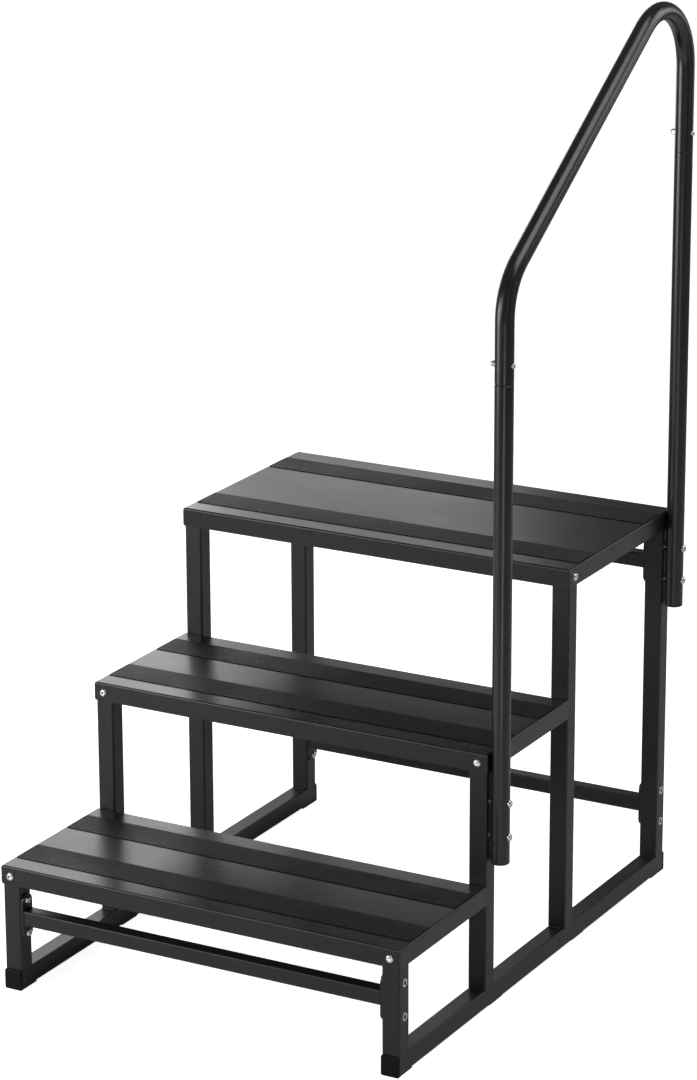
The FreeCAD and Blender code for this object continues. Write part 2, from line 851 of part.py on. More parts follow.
def button_screw(label, length, family=""):
    """A button-head screw with a hexagon socket; its head stands on z = 0 and its shank points down.

    The family is the first part of its sizes' names: empty for M6 or "joint_" for the M4 joint screws.
    """
    diameter = getattr(dim, family + "head_diameter")
    height = getattr(dim, family + "head_height")
    body = new_body(label)
    head = new_sketch(body, "XY_Plane", "Head")
    circle(head, 0, 0, diameter)
    pad(body, head, height)
    top = height.value
    rounding = getattr(dim, family + "head_round")
    fillet(body, rounding, lambda box: level(box.ZMin, top) and level(box.ZMax, top))
    socket = new_sketch(body, "XY_Plane", "Socket", height)
    hexagon(socket, getattr(dim, family + "socket"))
    pocket(body, socket, getattr(dim, family + "socket_depth"))
    shank = new_sketch(body, "XY_Plane", "Shank")
    circle(shank, 0, 0, getattr(dim, family + "thread"))
    pad(body, shank, length, reverse=True)
    return body


def domed_nut():
    """A domed nut for a joint screw; its seat is on z = 0 and its dome points up."""
    body = new_body("domed_nut")
    hexagonal = new_sketch(body, "XY_Plane", "Hexagon")
    hexagon(hexagonal, dim.nut_flats)
    pad(body, hexagonal, dim.nut_hex_height)
    dome = new_sketch(body, "XY_Plane", "Dome")
    circle(dome, 0, 0, dim.nut_dome_diameter)
    pad(body, dome, dim.nut_height)
    top = dim.nut_height.value
    fillet(body, dim.nut_dome_round, lambda box: level(box.ZMin, top) and level(box.ZMax, top))
    bore = new_sketch(body, "XY_Plane", "Bore")
    circle(bore, 0, 0, dim.joint_thread)
    pocket(body, bore, dim.nut_bore_depth, reverse=True)
    return body


def threaded_sleeve(label, flange):
    """A flanged sleeve through a leg; its flange stands on z = 0 and its barrel points down."""
    body = new_body(label)
    ring = new_sketch(body, "XY_Plane", "Flange")
    circle(ring, 0, 0, dim.sleeve_flange_diameter)
    circle(ring, 0, 0, dim.thread)
    pad(body, ring, flange)
    barrel = new_sketch(body, "XY_Plane", "Barrel")
    circle(barrel, 0, 0, dim.insert_diameter)
    circle(barrel, 0, 0, dim.thread)
    pad(body, barrel, dim.tube, reverse=True)
    return body


def thread_insert():
    """A threaded sleeve set in a tube wall; its mouth is on z = 0."""
    body = new_body("thread_insert")
    ring = new_sketch(body, "XY_Plane", "Ring")
    circle(ring, 0, 0, dim.insert_diameter)
    circle(ring, 0, 0, dim.thread)
    pad(body, ring, dim.insert_length, reverse=True)
    return body


def group(label, members):
    """One node of separate solids: each member is a master body, a place and a direction."""
    links = []
    for number, (master, x, y, z, turn) in enumerate(members, start=1):
        link = doc.addObject("App::Link", f"{label}_{number}")
        link.LinkedObject = master
        link.LinkTransform = False
        place(link, x, y, z, turn)
        links.append(link)
    compound = doc.addObject("Part::Compound", label)
    compound.Label = label
    compound.Links = links
    nodes[label] = compound


def make_tread_screws():
    screw = button_screw("tread_screw", dim.screw_length)
    insert = thread_insert()
    front_screws = []
    platform_screws = []
    inserts = []
    platform_height = screw_height(3)
    rear = frame_depth + dim.sheet
    for side in SIDE_NAMES:
        x = leg_x * side
        for tread in (1, 2):
            height = screw_height(tread)
            front_screws.append((screw, x, tread_front(tread), height, FACE_FRONT))
            inserts.append((insert, x, leg_front(tread), height, FACE_FRONT))
        outwards = FACE_RIGHT if side == RIGHT else FACE_LEFT
        side_y = leg_front(3) + dim.tube / 2
        platform_screws.append((screw, tread_half * side, side_y, platform_height, outwards))
        inserts.append((insert, dim.frame_half * side, side_y, platform_height, outwards))
        platform_screws.append((screw, x, rear, platform_height, FACE_BACK))
        inserts.append((insert, x, frame_depth, platform_height, FACE_BACK))
    group("tread_screws", front_screws)
    group("platform_screws", platform_screws)
    group("thread_inserts", inserts)


def make_brace_and_rail_bolts():
    """Sleeves cross the legs; the braces' bolts enter them from inside and the handrail's from outside."""
    thin_sleeve = threaded_sleeve("brace_sleeve", dim.sleeve_flange)
    spacing_sleeve = threaded_sleeve("handrail_sleeve", dim.sheet)
    brace_bolt = button_screw("brace_bolt", dim.screw_length)
    post_bolt = button_screw("post_bolt", dim.post_bolt_length)
    joint_bolt = button_screw("joint_bolt", dim.rail_diameter + dim.thread_in_nut, "joint_")
    nut = domed_nut()
    rail_outer = post_x + dim.rail_diameter / 2
    rail_inner = post_x - dim.rail_diameter / 2

    bolts = []
    sleeves = []
    for name, (leg, centre) in BRACES.items():
        y = leg_front(leg) + dim.tube / 2
        for height in pair(centre, dim.brace_bolt_half):
            bolts.append((brace_bolt, -plate_inner, y, height, FACE_RIGHT))
            bolts.append((brace_bolt, plate_inner, y, height, FACE_LEFT))
            sleeves.append((thin_sleeve, -dim.frame_half, y, height, FACE_LEFT))
            if name != "rear_upper_brace":
                sleeves.append((thin_sleeve, dim.frame_half, y, height, FACE_RIGHT))
    group("brace_bolts", bolts)
    group("brace_sleeves", sleeves)

    # The rear post's two sleeves also take the rear upper brace's right-hand bolts.
    bolts = []
    sleeves = []
    for y, first in ((front_post_y, dim.front_post_bolt), (rear_post_y, dim.rear_post_bolt)):
        for height in post_bolts(first):
            bolts.append((post_bolt, rail_outer, y, height, FACE_RIGHT))
            sleeves.append((spacing_sleeve, dim.frame_half, y, height, FACE_RIGHT))
    group("handrail_bolts", bolts)
    group("handrail_sleeves", sleeves)

    bolts = []
    nuts = []
    for y, seam in ((front_post_y, dim.front_seam), (rear_post_y, dim.rear_seam)):
        height = seam + dim.joint_bolt_rise
        bolts.append((joint_bolt, rail_outer, y, height, FACE_RIGHT))
        nuts.append((nut, rail_inner, y, height, FACE_LEFT))
    group("handrail_joint_bolts", bolts)
    group("handrail_joint_nuts", nuts)


# ---------------------------------------------------------------- build, check and export

def check_document():
    for item in doc.Objects:
        if "Invalid" in item.State or "Error" in item.State:
            raise RuntimeError(f"{item.Label} failed: {item.State}")
    box = FreeCAD.BoundBox()
    for label, item in nodes.items():
        if item.Shape.isNull() or not item.Shape.isValid():
            raise RuntimeError(f"{label} has no valid shape")
        if not item.Shape.Solids:
            raise RuntimeError(f"{label} has no solid")
        box.add(item.Shape.optimalBoundingBox(False))
    middle = ((box.XMin + box.XMax) / 2, (box.YMin + box.YMax) / 2, box.ZMin)
    if max(abs(value) for value in middle) > 0.05:
        raise RuntimeError(f"the origin is not the bottom centre: {middle}")
    print(f"{len(nodes)} nodes, {box.XLength:.1f} x {box.YLength:.1f} x {box.ZLength:.1f} mm")


def export_nodes():
    os.makedirs("parts", exist_ok=True)
    for label, item in nodes.items():
        item.Shape.exportStep(f"parts/{label}.step")


make_bottom_rails()
make_legs()
make_step_rails()
make_stair_treads()
make_platform()
make_stiffeners()
make_strips()
make_braces()
make_handrail()
make_post_plugs()
make_feet()
make_tread_screws()
make_brace_and_rail_bolts()
doc.recompute()
check_document()
export_nodes()
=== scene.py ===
"""Looks for the spa steps: materials, anti-slip strips, weld beads, lights, floor and camera."""
import math
import random

import bpy
from mathutils import Matrix, Vector


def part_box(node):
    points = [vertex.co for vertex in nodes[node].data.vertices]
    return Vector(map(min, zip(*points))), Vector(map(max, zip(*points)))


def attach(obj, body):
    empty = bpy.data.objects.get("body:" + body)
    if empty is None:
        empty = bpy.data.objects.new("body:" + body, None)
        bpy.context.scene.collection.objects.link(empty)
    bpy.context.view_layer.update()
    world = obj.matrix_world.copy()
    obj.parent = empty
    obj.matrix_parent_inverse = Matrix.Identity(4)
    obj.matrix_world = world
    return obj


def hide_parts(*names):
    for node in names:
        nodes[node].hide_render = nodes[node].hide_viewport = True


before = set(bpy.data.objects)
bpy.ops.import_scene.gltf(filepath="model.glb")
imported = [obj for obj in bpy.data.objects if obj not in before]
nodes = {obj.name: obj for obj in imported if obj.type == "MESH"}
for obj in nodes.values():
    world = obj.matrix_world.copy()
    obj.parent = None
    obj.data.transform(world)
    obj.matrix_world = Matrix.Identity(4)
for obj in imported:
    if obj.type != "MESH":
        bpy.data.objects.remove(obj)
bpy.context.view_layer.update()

MM = 0.001
TREADS = ("tread_1", "tread_2", "tread_3")
SIDES = ("left", "right")
BRACES = ("front_lower_brace", "rear_lower_brace", "rear_upper_brace")


# ---------------------------------------------------------------- material helpers

# The Mix node has several sockets of the same name; these are its colour inputs and its colour output.
MIX_COLOUR_A, MIX_COLOUR_B, MIX_COLOUR_OUT = 6, 7, 2


class Shader:
    """A material's node tree with short calls for the nodes that the finishes use."""

    def __init__(self, name):
        self.material = bpy.data.materials.new(name)
        self.material.use_nodes = True
        self.nodes = self.material.node_tree.nodes
        self.links = self.material.node_tree.links
        self.surface = next(n for n in self.nodes if n.type == "BSDF_PRINCIPLED")
        self.place = self.nodes.new("ShaderNodeTexCoord").outputs["Object"]

    def put(self, value, socket):
        """Links an output to an input, or sets the input's value."""
        if isinstance(value, bpy.types.NodeSocket):
            self.links.new(value, socket)
        else:
            socket.default_value = value

    def stretched(self, scale):
        """The object's own coordinates, multiplied by the scale."""
        node = self.nodes.new("ShaderNodeMapping")
        node.inputs["Scale"].default_value = scale
        self.links.new(self.place, node.inputs["Vector"])
        return node.outputs["Vector"]

    def noise(self, per_metre, detail=2.0, rough=0.5, where=None):
        """Soft noise of about 0.3 to 0.7, with the given number of lumps in a metre."""
        node = self.nodes.new("ShaderNodeTexNoise")
        node.inputs["Scale"].default_value = per_metre
        node.inputs["Detail"].default_value = detail
        node.inputs["Roughness"].default_value = rough
        self.links.new(where or self.place, node.inputs["Vector"])
        return node.outputs["Fac"]

    def cells(self, per_metre):
        """The distance to the nearest of many scattered points."""
        node = self.nodes.new("ShaderNodeTexVoronoi")
        node.inputs["Scale"].default_value = per_metre
        self.links.new(self.place, node.inputs["Vector"])
        return node.outputs["Distance"]

    def span(self, value, low, high, start=0.3, end=0.7):
        """Maps value from start..end to low..high."""
        node = self.nodes.new("ShaderNodeMapRange")
        self.put(value, node.inputs["Value"])
        node.inputs["From Min"].default_value = start
        node.inputs["From Max"].default_value = end
        node.inputs["To Min"].default_value = low
        node.inputs["To Max"].default_value = high
        return node.outputs["Result"]

    def maths(self, kind, a, b=0.0):
        node = self.nodes.new("ShaderNodeMath")
        node.operation = kind
        self.put(a, node.inputs[0])
        self.put(b, node.inputs[1])
        return node.outputs[0]

    def blend(self, share, a, b):
        node = self.nodes.new("ShaderNodeMix")
        node.data_type = "RGBA"
        self.put(share, node.inputs["Factor"])
        self.put(a, node.inputs[MIX_COLOUR_A])
        self.put(b, node.inputs[MIX_COLOUR_B])
        return node.outputs[MIX_COLOUR_OUT]

    def bump(self, height, depth, strength=1.0, under=None):
        """A normal that raises the surface by up to depth, on top of the normal under it."""
        node = self.nodes.new("ShaderNodeBump")
        node.inputs["Strength"].default_value = strength
        node.inputs["Distance"].default_value = depth
        self.put(height, node.inputs["Height"])
        if under is not None:
            self.links.new(under, node.inputs["Normal"])
        return node.outputs["Normal"]

    def edges(self, radius):
        """0 on flat faces, rising to about 1 on edges sharper than the radius."""
        bevel = self.nodes.new("ShaderNodeBevel")
        bevel.samples = 4
        bevel.inputs["Radius"].default_value = radius
        flat = self.nodes.new("ShaderNodeNewGeometry")
        dot = self.nodes.new("ShaderNodeVectorMath")
        dot.operation = "DOT_PRODUCT"
        self.links.new(bevel.outputs["Normal"], dot.inputs[0])
        self.links.new(flat.outputs["Normal"], dot.inputs[1])
        return self.span(dot.outputs["Value"], 1.0, 0.0, 0.75, 0.995)

    def finish(self, colour, roughness, normal, metallic=0.0, gloss=0.5):
        self.put(colour, self.surface.inputs["Base Color"])
        self.put(roughness, self.surface.inputs["Roughness"])
        self.put(metallic, self.surface.inputs["Metallic"])
        self.put(gloss, self.surface.inputs["Specular IOR Level"])
        self.links.new(normal, self.surface.inputs["Normal"])
        return self.material


def grey(value, tint=0.0):
    """A grey, warmer for a positive tint and cooler for a negative one."""
    return (value * (1 + tint), value, value * (1 - tint), 1.0)


def powder_coat(name, dark, light, roughness, gloss, peel):
    """Satin powder coat: orange peel, cloudy gloss, faint smudges, and slight polish along the edges, which
    are painted lighter as wear and as painted sheen.

    dark and light are the paint's two greys, and peel is the depth of the orange peel.
    """
    s = Shader(name)
    clouds = s.noise(7.0, 3.0)
    mottle = s.noise(55.0, 4.0, 0.6)
    smear = s.noise(16.0, 3.0, 0.6, s.stretched((0.35, 1.6, 1.0)))
    grain = s.noise(2600.0, 2.0)
    orange_peel = s.noise(480.0, 2.0)
    patchy = s.span(s.noise(160.0, 4.0, 0.7), 0.1, 1.0)
    # Patchy mask on the edges: the colour there is painted lighter, partly as wear and partly as a painted
    # sheen where light would catch them.
    worn_and_sheen = s.maths("MULTIPLY", s.edges(0.9 * MM), patchy)
    shade = s.maths("ADD", clouds, s.maths("MULTIPLY", mottle, 0.5))
    paint = s.blend(s.span(shade, 0.0, 1.0, 0.55, 0.95), grey(dark, -0.01), grey(light, -0.01))
    colour = s.blend(s.maths("MULTIPLY", worn_and_sheen, 0.35), paint, grey(light * 2.6))
    matt = s.maths("ADD", s.span(clouds, -0.025, 0.03), s.span(mottle, -0.008, 0.008))
    matt = s.maths("ADD", matt, s.span(smear, -0.006, 0.008))
    matt = s.maths("ADD", matt, s.maths("MULTIPLY", worn_and_sheen, -0.05))
    normal = s.bump(grain, 0.0005 * MM, 0.5)
    normal = s.bump(orange_peel, peel, 0.7, normal)
    return s.finish(colour, s.maths("ADD", matt, roughness), normal, gloss=gloss)


def grit_tape(name):
    """Anti-slip tape: mineral grains set in black resin, a few of them catching the light."""
    s = Shader(name)
    grains = s.cells(1500.0)
    fine = s.noise(2400.0, 3.0, 0.7)
    patches = s.noise(45.0, 4.0, 0.65)
    scuffed = s.noise(11.0, 3.0)
    sparkle = s.span(s.noise(1900.0, 0.0), 0.0, 1.0, 0.70, 0.78)
    resin = s.blend(s.span(patches, 0.0, 1.0), grey(0.0030), grey(0.0050))
    colour = s.blend(s.maths("MULTIPLY", sparkle, 0.5), resin, grey(0.05))
    matt = s.maths("ADD", s.span(scuffed, -0.05, 0.05), s.maths("MULTIPLY", sparkle, -0.2))
    normal = s.bump(grains, 0.12 * MM, 0.45)
    normal = s.bump(fine, 0.06 * MM, 0.5, normal)
    return s.finish(colour, s.maths("ADD", matt, 0.56), normal, gloss=0.36)


def moulded_plastic(name):
    """Black polyethylene: an even eggshell texture, a little lighter at the corners."""
    s = Shader(name)
    eggshell = s.noise(1500.0, 2.0)
    clouds = s.noise(30.0, 3.0)
    patchy = s.span(s.noise(220.0, 4.0, 0.7), 0.0, 1.0)
    # Patchy mask on the corners, where the colour is made a little lighter.
    lighter_corners = s.maths("MULTIPLY", s.edges(1.0 * MM), patchy)
    body = s.blend(s.span(clouds, 0.0, 1.0), grey(0.0022), grey(0.0032))
    colour = s.blend(s.maths("MULTIPLY", lighter_corners, 0.4), body, grey(0.02))
    normal = s.bump(eggshell, 0.02 * MM, 0.6)
    matt = s.maths("ADD", s.span(clouds, -0.04, 0.04), 0.55)
    return s.finish(colour, matt, normal, gloss=0.18)


def bright_steel(name):
    """Bright zinc-plated fasteners: fine turning marks, and patches that are darker and a little duller."""
    s = Shader(name)
    marks = s.noise(900.0, 3.0, 0.6, s.stretched((1.0, 1.0, 5.0)))
    stains = s.noise(260.0, 3.0, 0.6)
    colour = s.blend(s.span(stains, 0.0, 1.0), grey(0.72, 0.01), grey(0.86, 0.015))
    matt = s.maths("ADD", s.span(stains, 0.16, 0.26), s.span(marks, -0.03, 0.03))
    normal = s.bump(marks, 0.006 * MM, 0.5)
    return s.finish(colour, matt, normal, metallic=1.0)


PAINT = (0.0100, 0.0135)

# One finish for each material slot of the CAD model.
FINISHES = {
    "frame_black": powder_coat("satin_black_frame", *PAINT, 0.37, 0.42, 0.002 * MM),
    "tread_black": powder_coat("satin_black_tread", *PAINT, 0.28, 0.42, 0.0008 * MM),
    "rail_black": powder_coat("semi_gloss_black_tube", *PAINT, 0.25, 0.6, 0.001 * MM),
    "grip_strip": grit_tape("black_grit_tape"),
    "black_plastic": moulded_plastic("black_moulded_plastic"),
    "bright_steel": bright_steel("bright_steel_fastener"),
}


def dress_cad_nodes():
    """Gives every CAD node the finish of the slot that its mesh names."""
    for node in nodes.values():
        wanted = [slot.material.name.split(".")[0] for slot in node.material_slots]
        for slot, name in zip(node.material_slots, wanted):
            slot.material = FINISHES[name]


# ---------------------------------------------------------------- mesh helpers

def add_piece(name, vertices, faces, slot, smooth=True):
    """Makes a mesh piece in the CAD model's frame that rides on the one body."""
    mesh = bpy.data.meshes.new(name)
    mesh.from_pydata([tuple(v) for v in vertices], [], faces)
    mesh.validate()
    mesh.update()
    for polygon in mesh.polygons:
        polygon.use_smooth = smooth
    piece = bpy.data.objects.new(name, mesh)
    bpy.context.scene.collection.objects.link(piece)
    piece.data.materials.append(FINISHES[slot])
    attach(piece, "root")
    return piece


# ---------------------------------------------------------------- anti-slip strips

GRIT_PITCH = 1.6 * MM
GRIT_DEPTH = 0.22 * MM
GRIT_SHIFT = 0.3  # in shares of the pitch
GRIT_SKEW = 1.5  # above 1, most grains are high and only a few are low
RIM_DROP = 0.7 * GRIT_DEPTH
STRIP_CORNER = 3.0 * MM
STRIP_UNDERCUT = 0.5 * MM


def make_strip(tread, which, seed):
    """A tape strip with rounded corners, a slightly undercut edge and a top of uneven grains."""
    node = f"{tread}_{which}_strip"
    low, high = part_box(node)
    chance = random.Random(seed)
    across = round((high[1] - low[1]) / GRIT_PITCH)
    along = round((high[0] - low[0]) / GRIT_PITCH)
    middle_x, middle_y = (low[0] + high[0]) / 2, (low[1] + high[1]) / 2
    half_x, half_y = (high[0] - low[0]) / 2, (high[1] - low[1]) / 2
    straight_x, straight_y = half_x - STRIP_CORNER, half_y - STRIP_CORNER

    def rounded(x, y):
        """Pulls a point of the rectangle inside the strip's rounded corners."""
        out_x, out_y = abs(x) - straight_x, abs(y) - straight_y
        if out_x <= 0 or out_y <= 0:
            return x, y
        reach = max(out_x, out_y) / math.hypot(out_x, out_y)
        x = math.copysign(straight_x + out_x * reach, x)
        y = math.copysign(straight_y + out_y * reach, y)
        return x, y

    points, faces, grid = [], [], []
    for j in range(across + 1):
        row = []
        for i in range(along + 1):
            rim = i in (0, along) or j in (0, across)
            x = -half_x + 2 * half_x * i / along
            y = -half_y + 2 * half_y * j / across
            if not rim:
                x += chance.uniform(-GRIT_SHIFT, GRIT_SHIFT) * GRIT_PITCH
                y += chance.uniform(-GRIT_SHIFT, GRIT_SHIFT) * GRIT_PITCH
            x, y = rounded(x, y)
            drop = RIM_DROP if rim else GRIT_DEPTH * chance.random() ** GRIT_SKEW
            row.append(len(points))
            points.append((middle_x + x, middle_y + y, high[2] - drop))
        grid.append(row)
    for j in range(across):
        for i in range(along):
            faces.append((grid[j][i], grid[j][i + 1], grid[j + 1][i + 1], grid[j + 1][i]))

    edge = [grid[0][i] for i in range(along)]
    edge += [grid[j][along] for j in range(across)]
    edge += [grid[across][i] for i in range(along, 0, -1)]
    edge += [grid[j][0] for j in range(across, 0, -1)]
    base = len(points)
    shrink_x, shrink_y = 1 - STRIP_UNDERCUT / half_x, 1 - STRIP_UNDERCUT / half_y
    for k in edge:
        x, y = points[k][0] - middle_x, points[k][1] - middle_y
        points.append((middle_x + x * shrink_x, middle_y + y * shrink_y, low[2]))
    for k in range(len(edge)):
        after = (k + 1) % len(edge)
        faces.append((edge[after], edge[k], base + k, base + after))
    faces.append(tuple(base + k for k in reversed(range(len(edge)))))
    strip = add_piece(f"{tread}_{which}_grit_strip", points, faces, "grip_strip", smooth=False)
    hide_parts(node)


# ---------------------------------------------------------------- weld beads

RIPPLE = 1.7 * MM
RINGS_PER_RIPPLE = 4
# Shares of the bead's size: each ripple's fall, the random unevenness, the slow sag and the ends' size.
RIPPLE_DEPTH = 0.16
UNEVENNESS = 0.03
SAG = 0.06
SAG_WAVE = 5.0
END_SIZE = 0.25
# The bead's outline in shares of its size; it dips slightly below both faces.
CROWN = (
    (-0.12, -0.12),
    (1.0, -0.12),
    (0.86, 0.22),
    (0.62, 0.50),
    (0.50, 0.62),
    (0.22, 0.86),
    (-0.12, 1.0),
)


def bead(start, end, first, second, size, chance):
    """Points and faces of one fillet weld along an inside corner.

    first and second point along the two faces, away from the corner. The crown swells and narrows with
    each ripple of the weld pool, and shrinks at both ends.
    """
    start, end = Vector(start), Vector(end)
    first, second = Vector(first), Vector(second)
    length = (end - start).length
    count = max(4, round(length / RIPPLE)) * RINGS_PER_RIPPLE
    width = len(CROWN)
    sag = chance.uniform(-SAG, SAG)
    points, faces = [], []
    for k in range(count + 1):
        share = k / count
        pool = (k % RINGS_PER_RIPPLE) / RINGS_PER_RIPPLE
        swell = 1.0 - RIPPLE_DEPTH * pool + sag * math.sin(share * SAG_WAVE)
        swell += chance.uniform(-UNEVENNESS, UNEVENNESS)
        to_end = min(share, 1 - share) * length / size
        taper = math.sqrt(max(0.0, 1 - (1 - min(1.0, to_end)) ** 2))
        grow = size * swell * (END_SIZE + (1 - END_SIZE) * taper)
        centre = start.lerp(end, share)
        for a, b in CROWN:
            points.append(centre + first * (a * grow) + second * (b * grow))
    for k in range(count):
        for i in range(width):
            j = (i + 1) % width
            faces.append((k * width + i, k * width + j, (k + 1) * width + j, (k + 1) * width + i))
    faces.append(tuple(reversed(range(width))))
    faces.append(tuple(count * width + i for i in range(width)))
    turn = (end - start).cross(first).dot(second)
    if turn > 0:
        faces = [tuple(reversed(face)) for face in faces]
    return points, faces


def add_beads(name, seams, size, seed):
    """One piece holding every bead in seams, each (start, end, first direction, second direction)."""
    chance = random.Random(seed)
    points, faces = [], []
    for start, end, first, second in seams:
        more, patches = bead(start, end, first, second, size, chance)
        faces += [tuple(len(points) + i for i in patch) for patch in patches]
        points += more
    return add_piece(name, points, faces, "frame_black")


FRONT, REAR = (0, -1, 0), (0, 1, 0)
UP, DOWN = (0, 0, 1), (0, 0, -1)
LEFT, RIGHT = (-1, 0, 0), (1, 0, 0)

# How far each bead's ends stay from the tube's corners.
LEG_INSET = 3.5 * MM
STEP_RAIL_INSET = 3.0 * MM
BRACE_INSET = 2.5 * MM
# Half the length of a tack weld, and the tacks' places along a stiffener.
TACK_HALF = 9 * MM
TACK_PLACES = (0.06, 0.35, 0.65, 0.94)
# The beads' widths along each face.
LEG_BEAD = 2.2 * MM
BRACE_BEAD = 1.5 * MM
TACK_BEAD = 2.0 * MM


def leg_seams(side):
    """Seams where a leg's front and rear faces stand on the bottom rail, but not at the rail's ends."""
    seams = []
    for leg in ("front_leg", "second_leg", "third_leg", "rear_leg"):
        low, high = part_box(f"{side}_{leg}")
        x0, x1, z = low[0] + LEG_INSET, high[0] - LEG_INSET, low[2]
        if leg != "front_leg":
            seams.append(((x0, low[1], z), (x1, low[1], z), FRONT, UP))
        if leg != "rear_leg":
            seams.append(((x0, high[1], z), (x1, high[1], z), REAR, UP))
    return seams


def step_rail_seams(side):
    """Seams under both ends of each step rail, where it meets a leg."""
    seams = []
    for number in (1, 2, 3):
        low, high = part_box(f"{side}_step_rail_{number}")
        x0, x1, z = low[0] + STEP_RAIL_INSET, high[0] - STEP_RAIL_INSET, low[2]
        seams.append(((x0, low[1], z), (x1, low[1], z), REAR, DOWN))
        seams.append(((x0, high[1], z), (x1, high[1], z), FRONT, DOWN))
    return seams


def brace_seams(brace):
    """Seams round both ends of a brace, where its tube meets the end plates."""
    low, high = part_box(brace)
    y0, y1 = low[1] + BRACE_INSET, high[1] - BRACE_INSET
    z0, z1 = low[2] + BRACE_INSET, high[2] - BRACE_INSET
    seams = []
    for x, inward in ((low[0], RIGHT), (high[0], LEFT)):
        seams.append(((x, y0, high[2]), (x, y1, high[2]), inward, UP))
        seams.append(((x, y0, low[2]), (x, y1, low[2]), inward, DOWN))
        seams.append(((x, low[1], z0), (x, low[1], z1), inward, FRONT))
        seams.append(((x, high[1], z0), (x, high[1], z1), inward, REAR))
    return seams


def stiffener_seams(tread):
    """Short tack welds along both sides of a tread's stiffening channels, under the sheet."""
    seams = []
    names = [n for n in nodes if n.startswith(tread) and n.endswith("stiffener")]
    for name in sorted(names):
        low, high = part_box(name)
        for share in TACK_PLACES:
            x = low[0] + (high[0] - low[0]) * share
            x0, x1 = x - TACK_HALF, x + TACK_HALF
            seams.append(((x0, low[1], high[2]), (x1, low[1], high[2]), FRONT, DOWN))
            seams.append(((x0, high[1], high[2]), (x1, high[1], high[2]), REAR, DOWN))
    return seams


def make_welds():
    """Each piece of beads has its own seed."""
    for index, side in enumerate(SIDES):
        add_beads(f"{side}_leg_welds", leg_seams(side), LEG_BEAD, 40 + index)
        add_beads(f"{side}_step_rail_welds", step_rail_seams(side), LEG_BEAD, 50 + index)
    for index, brace in enumerate(BRACES):
        add_beads(f"{brace}_welds", brace_seams(brace), BRACE_BEAD, 60 + index)
    for index, tread in enumerate(TREADS):
        add_beads(f"{tread}_stiffener_welds", stiffener_seams(tread), TACK_BEAD, 70 + index)


# ---------------------------------------------------------------- studio

# name: azimuth, elevation, distance, width, height, power. Azimuth 0 is in front of the steps and 90 is
# to their right.
SOFTBOXES = {
    "key_near": (-128, 18, 1.6, 0.8, 0.8, 2.1),
    "key_low": (-132, 12, 2.2, 0.8, 0.8, 3.8),
    "key_far": (-150, 14, 3.0, 0.8, 1.0, 2.8),
    "front_left_near": (-45, 8, 1.6, 0.8, 0.8, 9.5),
    "front_left": (-30, 10, 2.0, 1.0, 1.0, 6.5),
    "front": (-20, 18, 2.5, 1.0, 1.0, 6.0),
    "beside_camera": (48, 12, 3.0, 0.8, 1.6, 1.5),
    "right": (100, 10, 3.0, 0.8, 1.6, 1.5),
    "right_rear": (135, 30, 2.5, 1.0, 1.0, 7.5),
    "rear_right_low": (150, 12, 3.0, 0.8, 1.2, 5.0),
    "over_handrail": (94, 62, 2.35, 1.3, 1.3, 15.0),
    "low_front_right": (36, -9, 1.3, 0.25, 0.6, 1.0),
}
LIGHT_CENTRE = (0.0, 0.0, 0.55)
DOME_TOP = 0.15
DOME_SIDE = 0.100
DOME_POWER = 2.0  # above 1, the bright part stays near the top
BACKDROP = 1.05
FLOOR_RADIUS = 60.0
FLOOR_SIDES = 96
FLOOR_LIFT = 0.9


def compass(azimuth, elevation):
    """The direction from the steps to a place in the studio, both angles in degrees."""
    a, e = math.radians(azimuth), math.radians(elevation)
    return Vector((math.sin(a) * math.cos(e), -math.cos(a) * math.cos(e), math.sin(e)))


def add_softbox(name, azimuth, elevation, distance, width, height, power):
    light = bpy.data.lights.new(name, "AREA")
    light.shape = "RECTANGLE"
    light.size, light.size_y = width, height
    light.energy = power
    box = bpy.data.objects.new(name, light)
    bpy.context.scene.collection.objects.link(box)
    away = compass(azimuth, elevation)
    box.location = Vector(LIGHT_CENTRE) + away * distance
    box.rotation_mode = "QUATERNION"
    box.rotation_quaternion = (-away).to_track_quat("-Z", "Y")
    box.visible_camera = False


def make_world():
    """A soft studio dome, a little brighter overhead; to the camera it is a plain white backdrop."""
    world = bpy.data.worlds.new("studio")
    bpy.context.scene.world = world
    world.use_nodes = True
    tree = world.node_tree
    dome = tree.nodes["Background"]
    place = tree.nodes.new("ShaderNodeTexCoord")
    split = tree.nodes.new("ShaderNodeSeparateXYZ")
    tree.links.new(place.outputs["Generated"], split.inputs["Vector"])
    height = tree.nodes.new("ShaderNodeMath")
    height.operation = "POWER"
    height.use_clamp = True
    tree.links.new(split.outputs["Z"], height.inputs[0])
    height.inputs[1].default_value = DOME_POWER
    level = tree.nodes.new("ShaderNodeMapRange")
    level.inputs["To Min"].default_value = DOME_SIDE
    level.inputs["To Max"].default_value = DOME_TOP
    tree.links.new(height.outputs[0], level.inputs["Value"])
    tree.links.new(level.outputs["Result"], dome.inputs["Strength"])
    dome.inputs["Color"].default_value = grey(1.0)
    backdrop = tree.nodes.new("ShaderNodeBackground")
    backdrop.inputs["Color"].default_value = grey(1.0)
    backdrop.inputs["Strength"].default_value = BACKDROP
    seen = tree.nodes.new("ShaderNodeLightPath")
    mix = tree.nodes.new("ShaderNodeMixShader")
    tree.links.new(seen.outputs["Is Camera Ray"], mix.inputs[0])
    tree.links.new(dome.outputs[0], mix.inputs[1])
    tree.links.new(backdrop.outputs[0], mix.inputs[2])
    output = next(n for n in tree.nodes if n.type == "OUTPUT_WORLD")
    tree.links.new(mix.outputs[0], output.inputs["Surface"])


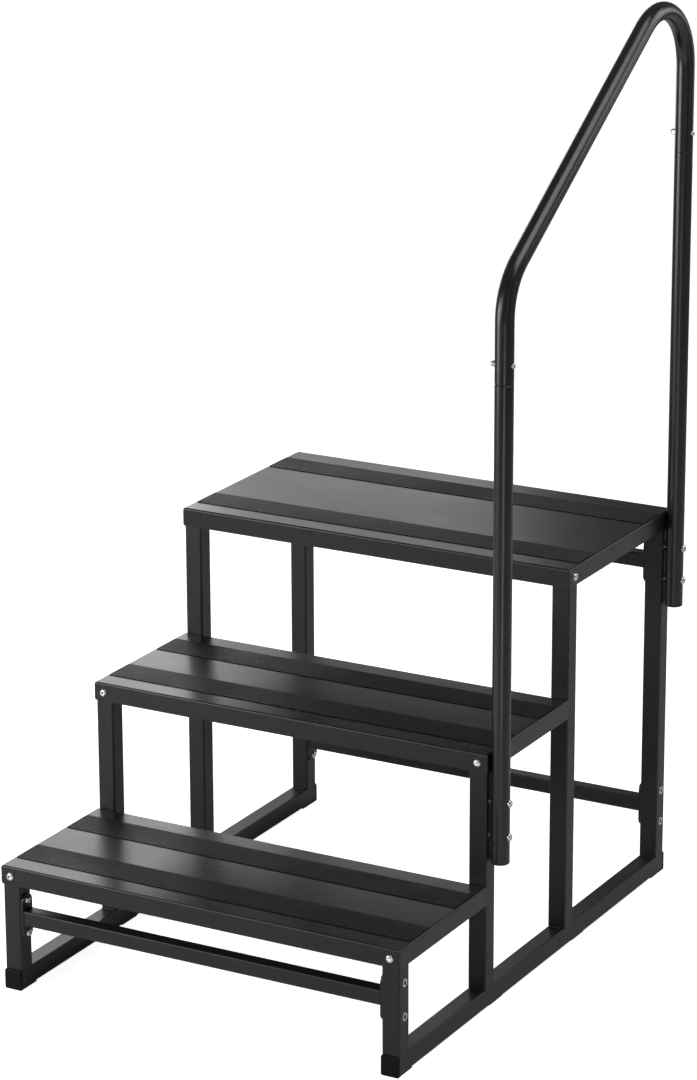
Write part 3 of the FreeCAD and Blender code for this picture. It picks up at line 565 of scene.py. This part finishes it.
def make_floor():
    """A wide, plain, pale floor; a glow that only the camera sees lifts it to the backdrop's white."""
    s = Shader("pale_floor")
    colour = s.blend(s.span(s.noise(0.8, 3.0), 0.0, 1.0), grey(0.86), grey(0.88))
    normal = s.bump(s.noise(90.0, 2.0), 0.02 * MM, 0.3)
    s.finish(colour, 0.85, normal, gloss=0.1)
    glow = s.nodes.new("ShaderNodeEmission")
    glow.inputs["Strength"].default_value = FLOOR_LIFT
    lit = s.nodes.new("ShaderNodeAddShader")
    s.links.new(s.surface.outputs[0], lit.inputs[0])
    s.links.new(glow.outputs[0], lit.inputs[1])
    seen = s.nodes.new("ShaderNodeLightPath")
    mix = s.nodes.new("ShaderNodeMixShader")
    s.links.new(seen.outputs["Is Camera Ray"], mix.inputs[0])
    s.links.new(s.surface.outputs[0], mix.inputs[1])
    s.links.new(lit.outputs[0], mix.inputs[2])
    output = next(n for n in s.nodes if n.type == "OUTPUT_MATERIAL")
    s.links.new(mix.outputs[0], output.inputs["Surface"])
    rim = []
    for k in range(FLOOR_SIDES):
        turn = 2 * math.pi * k / FLOOR_SIDES
        rim.append((FLOOR_RADIUS * math.cos(turn), FLOOR_RADIUS * math.sin(turn), 0.0))
    mesh = bpy.data.meshes.new("floor")
    mesh.from_pydata(rim, [], [tuple(range(FLOOR_SIDES))])
    floor = bpy.data.objects.new("floor", mesh)
    floor.data.materials.append(s.material)
    bpy.context.scene.collection.objects.link(floor)


# ---------------------------------------------------------------- camera

CAMERA_AT = (2.38795, -4.3065, 2.0856)
CAMERA_AZIMUTH = 29.071
CAMERA_DOWN = 17.379
CAMERA_ROLL = -0.208
CAMERA_LENS = 132.57
SENSOR_WIDTH = 36.0
CLIP_END = 200.0


def make_camera():
    """A camera that faces the steps from its azimuth, tipped down and rolled a little."""
    data = bpy.data.cameras.new("camera")
    data.sensor_width = SENSOR_WIDTH
    data.lens = CAMERA_LENS
    data.clip_end = CLIP_END
    camera = bpy.data.objects.new("camera", data)
    bpy.context.scene.collection.objects.link(camera)
    azimuth, roll = math.radians(CAMERA_AZIMUTH), math.radians(CAMERA_ROLL)
    ahead = -compass(CAMERA_AZIMUTH, CAMERA_DOWN)
    right = Vector((math.cos(azimuth), math.sin(azimuth), 0.0))
    up = right.cross(ahead)
    turned_right = right * math.cos(roll) + up * math.sin(roll)
    turned_up = up * math.cos(roll) - right * math.sin(roll)
    pose = Matrix((turned_right, turned_up, -ahead)).transposed().to_4x4()
    camera.matrix_world = Matrix.Translation(CAMERA_AT) @ pose
    bpy.context.scene.camera = camera


# ---------------------------------------------------------------- build

dress_cad_nodes()
for number, tread in enumerate(TREADS):
    make_strip(tread, "front", 10 + number)
    make_strip(tread, "rear", 20 + number)
make_welds()
make_world()
for box_name, values in SOFTBOXES.items():
    add_softbox(box_name, *values)
make_floor()
make_camera()
bpy.context.scene.view_settings.view_transform = "Standard"
